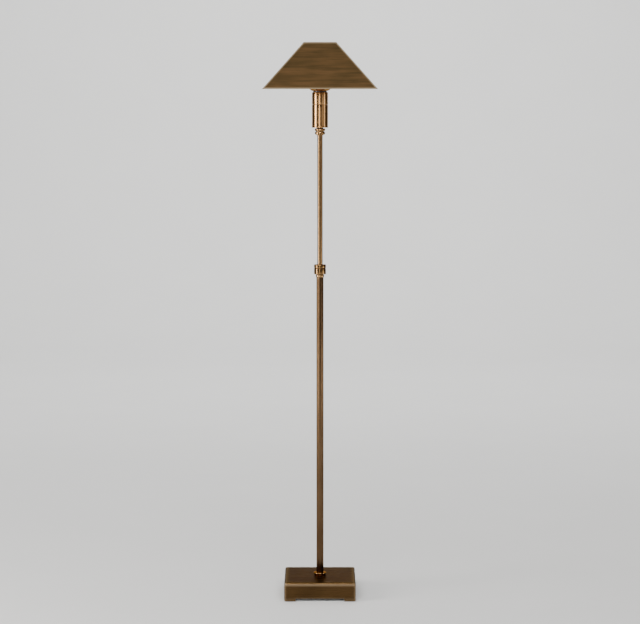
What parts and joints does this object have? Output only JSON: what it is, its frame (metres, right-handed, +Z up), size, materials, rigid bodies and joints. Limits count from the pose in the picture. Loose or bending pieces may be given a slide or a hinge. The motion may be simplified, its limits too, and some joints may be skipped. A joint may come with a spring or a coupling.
{
  "type": "pharmacy floor lamp",
  "caption": "Antique brass pharmacy floor lamp with a square weighted base, a telescoping pole with a twist lock, a dimmer socket cup and a square tapered metal shade.",
  "frame": {"origin": "on the floor under the pole, at the middle of the base", "axes": "+Z up along the pole, -Y towards the front, +X to the right; the cord bush is at +Y"},
  "size_m": [0.266, 0.266, 1.32],
  "materials": {
    "brushed_brass": "antique brass, brushed in straight horizontal lines and waxed",
    "polished_brass": "antique brass, turned and polished",
    "raw_brass": "plain drawn brass",
    "cast_iron": "rough cast, black",
    "zinc_steel": "zinc plated",
    "black_rubber": "moulded, matte",
    "black_plastic": "moulded, matte",
    "white_nylon": "natural nylon",
    "frosted_glass": "inside-frosted"
  },
  "bodies": {
    "base": {"base_cover": "brushed_brass", "base_feet": "brushed_brass", "base_weight": "cast_iron", "base_plate": "zinc_steel", "foot_pads": "black_rubber", "pad_screws": "zinc_steel", "cord_bush": "black_plastic", "base_stud": "zinc_steel", "stud_washer": "zinc_steel", "stud_nut": "zinc_steel", "tube_plug": "raw_brass", "lower_tube": "polished_brass", "pole_ferrule": "polished_brass", "tube_top_ring": "polished_brass", "clamp_body": "polished_brass", "clamp_collet": "raw_brass"},
    "lock": {"clamp_nut": "polished_brass"},
    "guide": {"guide_bush": "white_nylon"},
    "mast": {"mast_tube": "polished_brass", "bush_clips": "zinc_steel", "mast_spool": "polished_brass", "mast_nipple": "raw_brass", "neck_washer": "zinc_steel", "socket_cup": "polished_brass", "cup_lock_nut": "zinc_steel", "socket_cap": "zinc_steel", "dimmer_module": "black_plastic", "terminal_screws": "raw_brass", "socket_body": "black_plastic", "screw_shell": "raw_brass", "centre_contact": "zinc_steel", "sleeve_bearing": "white_nylon", "shade_dish": "polished_brass", "shade_ring_nut": "polished_brass", "bulb_cap": "raw_brass", "bulb_tip": "zinc_steel", "bulb_glass": "frosted_glass"},
    "dimmer": {"dimmer_sleeve": "polished_brass", "dimmer_rotor": "black_plastic"},
    "shade": {"shade_panel_front": "brushed_brass", "shade_panel_right": "brushed_brass", "shade_panel_back": "brushed_brass", "shade_panel_left": "brushed_brass", "shade_spider": "raw_brass", "shade_top_wire": "raw_brass", "shade_rim_wire": "raw_brass"}
  },
  "joints": [
    {"name": "lock_turn", "type": "hinge", "parent": "base", "child": "lock", "pos_m": [0, 0, 0.792], "axis": [0, 0, 1], "range_deg": [0, 270]},
    {"name": "height_slide", "type": "slide", "parent": "base", "child": "guide", "axis": [0, 0, 1], "range_m": [-0.28, 0.16]},
    {"name": "mast_turn", "type": "hinge", "parent": "guide", "child": "mast", "pos_m": [0, 0, 0.56], "axis": [0, 0, 1], "range_deg": [-180, 180]},
    {"name": "dimmer_turn", "type": "hinge", "parent": "mast", "child": "dimmer", "pos_m": [0, 0, 1.19], "axis": [0, 0, 1], "range_deg": [0, 300]},
    {"name": "shade_turn", "type": "hinge", "parent": "mast", "child": "shade", "pos_m": [0, 0, 1.2086], "axis": [0, 0, 1], "continuous": true}
  ]
}
